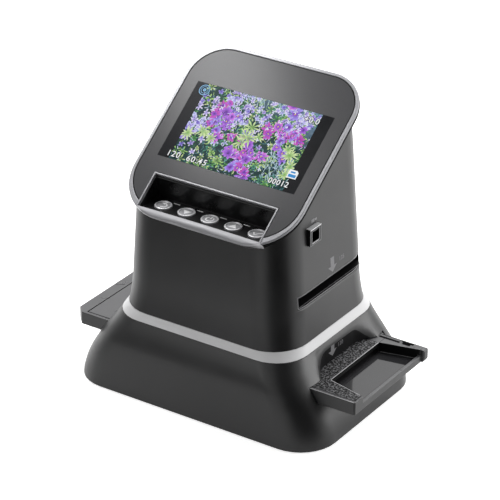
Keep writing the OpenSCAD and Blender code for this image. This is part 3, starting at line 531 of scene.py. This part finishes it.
def strewn(count, *patches):
    """Places in the picture, thickest in the middle of its patches: centre and spread as shares."""
    for k in range(count):
        u, v, wide, high = patches[k % len(patches)]
        yield draw.gauss(u, wide) * picture_w / 2, draw.gauss(v, high) * picture_h / 2


everywhere = [(u, v, 0.25, 0.3) for u in (-0.8, -0.4, 0, 0.4, 0.8) for v in (-0.7, 0, 0.7)]

# Grass in the shade
for x, y in strewn(1000, *everywhere):
    tone = draw.choice((("#0a2228", "#2c6a62"), ("#12323a", "#4f8f98"), ("#0f2a1c", "#3f7f45"),
                        ("#1a4454", "#86b8c6")))
    leaf(x, y, draw.uniform(0, math.tau), draw.uniform(2.5, 6), draw.uniform(0.4, 0.9), *tone)
layer = 1
# Fern leaves from deep to yellow green
for x, y in strewn(230, *everywhere):
    tone = draw.choice((("#12502a", "#6cc058"), ("#24602a", "#b8e87c"), ("#11463a", "#5cb08c"),
                        ("#3c7028", "#dff0a4")))
    rosette(x, y, draw.choice((4, 5, 6)), draw.uniform(2.0, 4.4), draw.uniform(0.7, 1.3), *tone)
layer = 2
# Dry stalks in pale blue grey, in two sheaves
for x, y in strewn(210, (0.72, -0.55, 0.16, 0.3), (0.05, 0.85, 0.3, 0.14)):
    leaf(x, y, draw.gauss(1.9, 0.6), draw.uniform(4, 10), draw.uniform(0.35, 0.6), "#4f8094", "#d4ecf4")
layer = 3
# Small pale asters, thickest in the hazy corner and at the lower left
for x, y in strewn(230, (0.75, 0.75, 0.2, 0.22), (-0.85, -0.15, 0.15, 0.3), (0.1, 0.3, 0.35, 0.4),
                   (-0.5, 0.7, 0.3, 0.2)):
    tone = draw.choice((("#6248b8", "#cdbcf6"), ("#8a78d8", "#f4eeff"), ("#4c3ab0", "#a896f0"),
                        ("#8c86dc", "#dfe6ff")))
    rosette(x, y, 5, draw.uniform(1.4, 2.9), draw.uniform(0.9, 1.5), *tone, 0.6)
layer = 4
# Large asters in violet and magenta, in three loose groups
for x, y in strewn(54, (-0.42, 0.22, 0.2, 0.26), (0.52, 0.2, 0.16, 0.26), (0.1, -0.55, 0.18, 0.16)):
    size = draw.uniform(3.2, 5.6)
    tone = draw.choice((("#5a1694", "#c070f4"), ("#8c1aac", "#e27cec"), ("#4a2ab0", "#b09cfa"),
                        ("#941898", "#d24cc8")))
    rosette(x, y, 9, size, 1.9, *tone, 0.55)
    rosette(x, y, 6, size * 0.6, 1.1, "#4a0a80", "#a84cf0")
    if draw.random() < 0.35:
        rosette(x, y, 4, 0.8, 0.6, "#d07a2c", "#f0e090")
layer = 5
# Dark gaps and light blades over the flowers
for x, y in strewn(560, *everywhere):
    tone = draw.choice((("#04100c", "#12362c"), ("#081020", "#1c2c50"), ("#4a8a34", "#d4f09c"),
                        ("#9aa8e2", "#f0f2ff"), ("#a8b6ee", "#ffffff")))
    leaf(x, y, draw.uniform(0, math.tau), draw.uniform(1.6, 4.0), draw.uniform(0.3, 0.55), *tone)
layer = 6
# White bells and bright leaf stars in front
for x, y in strewn(40, (0.75, 0.7, 0.2, 0.25), (-0.2, -0.1, 0.6, 0.6)):
    rosette(x, y, 4, draw.uniform(1.1, 1.9), 0.8, "#b4c0ec", "#ffffff")
for x, y in strewn(15, (-0.6, -0.35, 0.2, 0.2), (0.0, 0.0, 0.15, 0.2), (0.85, -0.1, 0.1, 0.3)):
    rosette(x, y, 8, draw.uniform(4.4, 7.4), 1.3, "#6aa83c", "#eefac0", 0.35)
layer = 7

# All is cut off at the picture's edges
for axis, half in ((Vector((1, 0, 0)), picture_w / 2), (Vector((0, 1, 0)), picture_h / 2)):
    for side in (1, -1):
        bmesh.ops.bisect_plane(picture, geom=picture.verts[:] + picture.edges[:] + picture.faces[:],
                               plane_co=axis * half * side, plane_no=axis * side, clear_outer=True)

# Film against glare: acrylic, nearly black over the dark display
film, tree, shader = finish("anti_glare_acrylic_film", "#0f1013", 0.3, specular=0.05)
mottled(tree, shader, "#0d0e11", "#121317", 9, (0.28, 0.34))
window_w, window_h = 110.7, 61.5
bm = bmesh.new()
block(bm, -window_w / 2, -window_h / 2, window_w / 2, window_h / 2)
print_on("display_film", bm, on_glass, film)


def glowing(name, colour, strength=0.95):
    """A display's light in one colour, under a trace of gloss from the film."""
    material, tree, shader = finish(name, "#000000", 0.3, specular=0.04)
    shader.inputs["Emission Color"].default_value = linear(colour)
    shader.inputs["Emission Strength"].default_value = strength
    return material, tree, shader


# Light of the display: the picture's own colours, a little greyed by the film
lit, tree, shader = glowing("display_picture_light", "#ffffff")
tint = add(tree, "Attribute", attribute_name="tint")
greyed = add(tree, "HueSaturation", {"Color": tint.outputs["Color"], "Saturation": 0.92})
tree.links.new(greyed.outputs[0], shader.inputs["Emission Color"])
on_film = on_glass @ Matrix.Translation((0, 0, print_t * MM))
print_on("display_picture", picture, on_film, lit, thickness=0.02)

# The menu over the picture: white numbers with a dark shade, a card and a ring sign
menu_white, tree, shader = glowing("display_menu_white", "#f2f4f6")
menu_blue, tree, shader = glowing("display_menu_blue", "#3b8fd0")
pale_blue, tree, shader = glowing("display_menu_pale_blue", "#8cc0e6", 0.9)
shade, tree, shader = finish("display_menu_shade", "#05070a", 0.3, specular=0.04)
menu = on_film @ Matrix.Translation((0, 0, (layer * layer_step + 0.04) * MM))
for name, text, height, x, y, spacing in (("film_size", "120  60:45", 4.4, -49.0, -29.0, 1.2),
                                          ("exposure", "+0.0", 4.3, 34.6, 22.4, 1.1),
                                          ("counter", "00012", 4.1, 32.6, -27.6, 1.1)):
    below = menu @ Matrix.Translation((0, 0, -0.02 * MM))
    numerals("menu_" + name, text, height, x, y, menu, menu_white, 0.08, spacing)
    numerals("menu_shade_" + name, text, height, x, y, below, shade, 0.45, spacing)

bm = bmesh.new()
outline(bm, [(43.6, -20.4), (51.0, -20.4), (51.0, -15.4), (49.6, -14.0), (43.6, -14.0)])
print_on("menu_card", bm, menu, menu_white)
bm = bmesh.new()
block(bm, 44.4, -19.6, 50.2, -17.4)
block(bm, 45.2, -16.4, 48.8, -15.2)
on_card = menu @ Matrix.Translation((0, 0, print_t * MM))
print_on("menu_card_mark", bm, on_card, menu_blue)


def arc_band(bm, radius, width, start, end, segments=14):
    """A flat curved strip, in degrees from +X."""
    inner = bm.verts.new((radius - width / 2, 0, 0))
    outer = bm.verts.new((radius + width / 2, 0, 0))
    side = bm.edges.new((inner, outer))
    bmesh.ops.rotate(bm, verts=[inner, outer], matrix=Matrix.Rotation(math.radians(start), 3, "Z"))
    bmesh.ops.spin(bm, geom=[inner, outer, side], axis=(0, 0, 1), cent=(0, 0, 0),
                   angle=math.radians(end - start), steps=segments)


bm = bmesh.new()
arc_band(bm, 3.9, 0.6, 0, 360, 28)
arc_band(bm, 2.6, 0.4, 0, 360, 20)
arc_band(bm, 0.8, 1.0, 0, 360, 12)
bmesh.ops.translate(bm, verts=bm.verts, vec=(-47.0, 25.2, 0))
print_on("menu_lens_sign", bm, menu, pale_blue)

# ---- console ----
# The recess for the buttons is a separate tub in high-gloss black ABS. A bright edge frames it,
# and a bulged bar in the rim's silver paint closes it in front.

# High-gloss black ABS, moulded against polished steel: it mirrors the buttons
gloss, tree, shader = finish("black_abs_high_gloss", "#0a0a0b", 0.30, specular=0.30)
mottled(tree, shader, "#09090a", "#0d0d0e", 14, (0.26, 0.34))
moulding("console_tub", gloss, 0.2)
# The same paint over a cut edge, brighter; it also paints the port's edge highlights
trim_and_highlight_silver, tree, shader = finish("abs_silver_cut_edge_and_painted_highlight", "#88888b", 0.34, metallic=0.4)
mottled(tree, shader, "#828285", "#8e8e91", 3, (0.30, 0.38))
moulding("console_trim", trim_and_highlight_silver, 0.15)

# The bar: silver paint, lighter along its upper edge and darker on its front below: a painted highlight
# on its top. The pattern is turned with the face, so that the change of tone runs along the bar.
bar, tree, shader = finish("abs_silver_bar_painted_highlight", "#b4b4b7", 0.34, metallic=0.3)
place = add(tree, "TexCoord").outputs["Object"]
level = add(tree, "Mapping", {"Vector": place, "Location": (0, -face_y * MM, -face_z * MM)})
flat = add(tree, "Mapping", {"Vector": level.outputs[0], "Rotation": (-tilt, 0, 0)})
axes = add(tree, "SeparateXYZ", {0: flat.outputs[0]})
band = add(tree, "MapRange", {"Value": axes.outputs["Y"], "From Min": -73.6 * MM, "From Max": -71.2 * MM})
tone = add(tree, "ValToRGB", {0: band.outputs[0]})
for stop, at, colour in zip(tone.color_ramp.elements, (0.25, 0.75), ("#8c8c8f", "#bebec1")):
    stop.position, stop.color = at, linear(colour)
tree.links.new(tone.outputs[0], shader.inputs["Base Color"])
eroded(tree, shader, 0.35, 0.004)
moulding("front_lip", bar, 0.0, 60)

# ---- buttons ----
# Five dished caps in silver-painted ABS, each on its own switch. Their signs are printed in white,
# and so are the short marks beside them on the tub's floor.

# ABS in silver paint, finer and lighter than the rim's
cap_silver, tree, shader = finish("abs_button_silver_paint", "#a4a4a7", 0.42, metallic=0.35)
mottled(tree, shader, "#9c9c9f", "#acacaf", 3, (0.38, 0.46))
eroded(tree, shader, 0.3, 0.004)
# The raised edge of a cap, where it looks up, is painted bright: a painted highlight
cap_highlight, tree, shader = finish("abs_button_painted_highlight", "#dededf", 0.30, metallic=0.4)
mottled(tree, shader, "#d6d6d8", "#e4e4e6", 2, (0.26, 0.34))
# Printing ink, white, matt
white_ink, tree, shader = finish("pad_print_ink_white", "#f2f2f3", 0.55)
mottled(tree, shader, "#ececed", "#f6f6f7", 0.8)

deck_z, button_y, pitch = 139.4, -41.2, 19.0
cap_rise, dish = 1.0, 0.45
deck = Matrix.Translation(Vector((0, button_y, deck_z)) * MM)
bm = bmesh.new()
for k in range(-2, 3):
    x = k * pitch + 6.2
    block(bm, x - 2.6, 6.6, x + 2.6, 7.5)
print_on("deck_marks", bm, deck, white_ink)

signs = {}
for sign in ("back", "down", "power", "up", "check"):
    bm = bmesh.new()
    if sign == "back":
        arc_band(bm, 1.7, 0.6, -110, 90)
        outline(bm, [(0.1, 0.7), (0.1, 2.7), (-1.7, 1.7)])
    elif sign in ("down", "up"):
        flip = 1 if sign == "up" else -1
        outline(bm, [(-2.2, -1.3 * flip), (2.2, -1.3 * flip), (0, 2.1 * flip)][::flip])
    elif sign == "power":
        arc_band(bm, 1.9, 0.6, 125, 415)
        block(bm, -0.3, 0.4, 0.3, 2.6)
    else:
        outline(bm, [(-2.2, 0.1), (-0.7, -1.9), (2.4, 1.5), (1.9, 2.0), (-0.7, -0.9), (-1.7, 0.6)])
    bmesh.ops.scale(bm, verts=bm.verts, vec=(1.45, 1.45, 1))
    signs[sign] = bm

for k, (name, sign) in enumerate(zip(("back", "left", "power", "right", "ok"), signs)):
    button = moulding("button_" + name, cap_silver, 0.0, 50)
    button.data.materials.append(cap_highlight)
    # Faces on a cap's raised edge that look up take the painted highlight
    for polygon in button.data.polygons:
        if polygon.center.z > (deck_z + 0.8) * MM and polygon.normal.z > 0.3:
            polygon.material_index = 1
    cap = Matrix.Translation(Vector(((k - 2) * pitch, button_y, deck_z + cap_rise - dish)) * MM)
    print_on("sign_" + sign, signs[sign], cap, white_ink, "button_" + name)

# ---- port ----
# A square die-cast frame in black paint stands out of the neck's right side, with painted highlights
# along its edges. In it sits the steel shell of the socket, soldered to its own board.

# Zinc die casting in smooth black paint
port_paint, tree, shader = finish("die_cast_black_paint", "#121213", 0.30, specular=0.25)
mottled(tree, shader, "#101011", "#161617", 2, (0.26, 0.34))
eroded(tree, shader, 0.3, 0.003)
# Its upper side and upper edge are painted pale, with little gloss: painted light where the light from
# above falls
port_top_light, tree, shader = finish("die_cast_painted_top_light", "#d4d4d6", 0.42, metallic=0.1)
mottled(tree, shader, "#cecfd1", "#dadadb", 2, (0.38, 0.46))
port = moulding("port_bezel", port_paint, 0.3)
port.data.materials.append(port_top_light)
port.data.materials.append(shade_abs)
# Its top takes the pale painted light, and its front and back sides the darker black: painted shade
for polygon in port.data.polygons:
    if polygon.normal.z > 0.8:
        polygon.material_index = 1
    elif abs(polygon.normal.y) > 0.8:
        polygon.material_index = 2
# Painted highlights: thin bright lines along the outer and inner edges of its face
bm = bmesh.new()
for half, wide in ((6.6, 0.2), (4.6, 0.25)):
    for turned in range(4):
        side = outline(bm, [(-half, -half), (half, -half), (half - wide, wide - half),
                            (wide - half, wide - half)])
        bmesh.ops.rotate(bm, verts=side.verts, matrix=Matrix.Rotation(math.radians(90 * turned), 3, "Z"))
bmesh.ops.scale(bm, verts=bm.verts, vec=(1, 0.93, 1))
port_plate = right_side(67.66, -15.5, 136.4)
print_on("port_painted_edge_highlights", bm, port_plate, trim_and_highlight_silver, thickness=0.06)
bm = bmesh.new()
block(bm, -6.5, 5.3, 6.5, 6.1)
print_on("port_top_painted_highlight", bm, port_plate, port_top_light, thickness=0.08)

# Black-nickel plated steel of the socket, drawn and smooth
nickel, tree, shader = finish("black_nickel_plated_steel", "#34332f", 0.3, metallic=1.0)
mottled(tree, shader, "#2f2e2b", "#3b3a36", 1.5, (0.26, 0.38))
carried(nickel, "usb_board")

# ---- film holder ----
# A flat frame slides through the base. Its lid hinges on a steel rod at the back. Both are ABS:
# towards the right the lid and the front rail are coarsely spark-eroded, with painted light and shade on
# the grain, the other upper faces are silky and painted lighter grey, as painted light, and the floor
# of the flared mouth is polished.

# Black ABS, smooth satin moulding: the frame's sides
satin_abs, tree, shader = finish("black_abs_satin", "#1c1c1d", 0.38, specular=0.4)
mottled(tree, shader, "#19191a", "#202021", 12, (0.34, 0.42))
eroded(tree, shader, 0.4, 0.006)
# Black ABS, polished: the mouth's floor mirrors the base
polished_abs, tree, shader = finish("black_abs_polished", "#2e2e30", 0.06)
mottled(tree, shader, "#2b2b2d", "#323234", 9, (0.05, 0.08))
shader.inputs["IOR"].default_value = 1.85
# Black ABS on the upper faces, finely ground, with a silky sheen and painted lighter grey than the
# housing: painted light on faces that look up
silky_painted_light_abs, tree, shader = finish("black_abs_silky_painted_light", "#464648", 0.30, specular=0.9)
mottled(tree, shader, "#414143", "#4b4b4d", 12, (0.26, 0.34))
eroded(tree, shader, 0.4, 0.006)
# Black ABS, coarse spark-eroded grain, pits about 0.7 mm wide so that they show: the tips painted light
# and the pits painted dark, painted light and shade on the grain
grain_painted_light_abs, tree, shader = finish("black_abs_coarse_grain_painted_light_and_shade", "#1c1c1d", 0.5, specular=0.15)
speck = add(tree, "ValToRGB", {0: eroded(tree, shader, 1.35, 0.16)})
for stop, at, colour in zip(speck.color_ramp.elements, (0.48, 0.61), ("#050506", "#7a7a7c")):
    stop.position, stop.color = at, linear(colour)
tree.links.new(speck.outputs[0], shader.inputs["Base Color"])


def cut_across(piece, *planes):
    """Divides a piece's faces along planes, each a place in millimetres and a direction."""
    bm = bmesh.new()
    bm.from_mesh(piece.data)
    for place, across in planes:
        bmesh.ops.bisect_plane(bm, geom=bm.verts[:] + bm.edges[:] + bm.faces[:],
                               plane_co=Vector(place) * MM, plane_no=across)
    bm.to_mesh(piece.data)
    bm.free()


holder = moulding("holder_frame", satin_abs, 0.3)
# The outer end of its right block is rounded like a barrel about its middle height
barrel_x, barrel_depth, middle_z = 119.8, 1.95, 34.3
cut_across(holder, *(((x, 0, 0), (1, 0, 0)) for x in (barrel_x, 120.5, 121.0)))
for vert in holder.data.vertices:
    over = vert.co.x / MM - barrel_x
    if over > 0:
        share = math.sqrt(1 - (over / barrel_depth) ** 2)
        vert.co.z = (middle_z + (vert.co.z / MM - middle_z) * share) * MM
# Matt walls of the mouth and the hinge groove, darker as painted shade, polished floor, grained right end
# of the front rail, and upper faces painted lighter grey as painted light
for material in (grain_painted_light_abs, polished_abs, silky_painted_light_abs, shade_abs):
    holder.data.materials.append(material)
for polygon in holder.data.polygons:
    x, y, z = polygon.center / MM
    if abs(polygon.normal.z) < 0.2 and 84 < x < 118.8 and abs(y - 2.5) < 38.2 and z > 31.9:
        polygon.material_index = 4
    elif y > 42.4 and 33 < z < 38.8 and x < 111.5 and polygon.normal.y > -0.5:
        polygon.material_index = 4
    elif polygon.normal.z > 0.9 and z < 32.5 and x > 88:
        polygon.material_index = 2
    elif polygon.normal.z > 0.9 and z > 38 and y < -25 and x > 60:
        polygon.material_index = 1
    elif polygon.normal.z > 0.6 and (z > 38 or x > 116):
        polygon.material_index = 3
# The lid's grain stops at its hinge edge and at its left end, which are silky and painted lighter grey:
# painted light
lid = moulding("holder_lid", grain_painted_light_abs, 0.25)
lid.data.materials.append(silky_painted_light_abs)
lid.data.materials.append(shade_abs)
hinge_y, silky_x, mouth_x = 33.2, -58, 88
cut_across(lid, ((0, hinge_y, 0), (0, 1, 0)), ((silky_x, 0, 0), (1, 0, 0)))
for polygon in lid.data.polygons:
    x, y, z = polygon.center / MM
    # Its face over the mouth takes the darker matt black: painted shade
    if abs(polygon.normal.z) < 0.5 and x > mouth_x:
        polygon.material_index = 2
    elif polygon.normal.z < 0.5 or y > hinge_y + 0.1 or x < silky_x:
        polygon.material_index = 1

# Painted highlights: bright lines along the edges of the mouth and of the front arm
edge_highlight_abs, tree, shader = finish("black_abs_painted_edge_highlight", "#c8c8ca", 0.35)
mottled(tree, shader, "#bababc", "#d4d4d6", 2, (0.3, 0.42))
on_holder = Matrix.Translation((0, 0, 39.0 * MM))
bm = bmesh.new()
block(bm, 89.0, -28.2, 89.5, hinge_y)
outline(bm, [(89.5, -28.9), (116.6, -35.2), (116.6, -34.9), (89.5, -28.5)])
block(bm, 72.0, -45.7, 118.0, -45.3)
print_on("holder_painted_edge_highlights", bm, on_holder, edge_highlight_abs, "holder")

# Two black strips along the rear edge: painted shade along the lid's rear edge
rear_shade_strip, tree, shader = finish("black_painted_shade_strip", "#050506", 0.9, specular=0.05)
mottled(tree, shader, "#040405", "#070708", 1)
bm = bmesh.new()
block(bm, 85.0, 40.3, 101.3, 42.4)
block(bm, 103.4, 40.2, 109.6, 42.2)
print_on("holder_rear_painted_shade", bm, on_holder, rear_shade_strip, "holder", 0.05)

# Steel rod, blackened and oiled: nearly no shine
black_steel, tree, shader = finish("blackened_steel_rod", "#070708", 0.5, specular=0.15)
mottled(tree, shader, "#050506", "#0b0b0c", 3, (0.45, 0.6))
carried(black_steel, "hinge_rod")

# The holder's arrow and film size, printed on the back wall of the right scoop
scoop_wall = right_side(76, 0, 0)
bm = bmesh.new()
arrow(bm, -5.5, 51.0, 42.6, 10.2, 4.2)
print_on("holder_arrow", bm, scoop_wall, ink)
numerals("holder_film_size", "120", 3.2, 0.9, 46.5, scoop_wall, ink)

# ---- light path and boards ----
# Lamps on a white board shine up through a light box and an opal sheet. Above the film, shrouds of
# black ABS lead to the lens, and the sensor stands over it on the posts of the lens's holder.

# FR4 board with green solder mask, slightly glossy
board, tree, shader = finish("fr4_green_solder_mask", "#1f5a3a", 0.32)
mottled(tree, shader, "#1a4f33", "#256642", 3, (0.28, 0.4))
# FR4 board with white solder mask, for the lamps of the light box
white_board, tree, shader = finish("fr4_white_solder_mask", "#e9e9e4", 0.35)
mottled(tree, shader, "#e2e2dd", "#efefea", 5, (0.3, 0.42))
# White ABS and opal acrylic of the light box and its diffuser
white_abs, tree, shader = finish("white_abs_reflecting", "#ececec", 0.55)
mottled(tree, shader, "#e6e6e6", "#f1f1f1", 10, (0.5, 0.6))
opal, tree, shader = finish("opal_acrylic_sheet", "#f4f4f2", 0.3)
mottled(tree, shader, "#f0f0ee", "#f8f8f6", 20, (0.26, 0.36))
# Anodised aluminium of the lens barrel, turned
anodised, tree, shader = finish("anodised_aluminium_black", "#1a1a1c", 0.4, metallic=0.9)
mottled(tree, shader, "#161618", "#202022", 2, (0.34, 0.46))
# Coated optical glass of the lens
lens, tree, shader = finish("coated_optical_glass", "#5c7890", 0.06)
shader.inputs["Transmission Weight"].default_value = 0.8
mottled(tree, shader, "#56718a", "#647f96", 6)

carried(board, "button_board", "sensor_board", "main_board")
carried(white_board, "backlight_board")
carried(white_abs, "light_box")
carried(opal, "diffuser")
carried(anodised, "lens_barrel")
carried(lens, "lens_glass")
carried(black_abs, "holder_guide", "lower_shroud", "upper_shroud", "lens_holder")
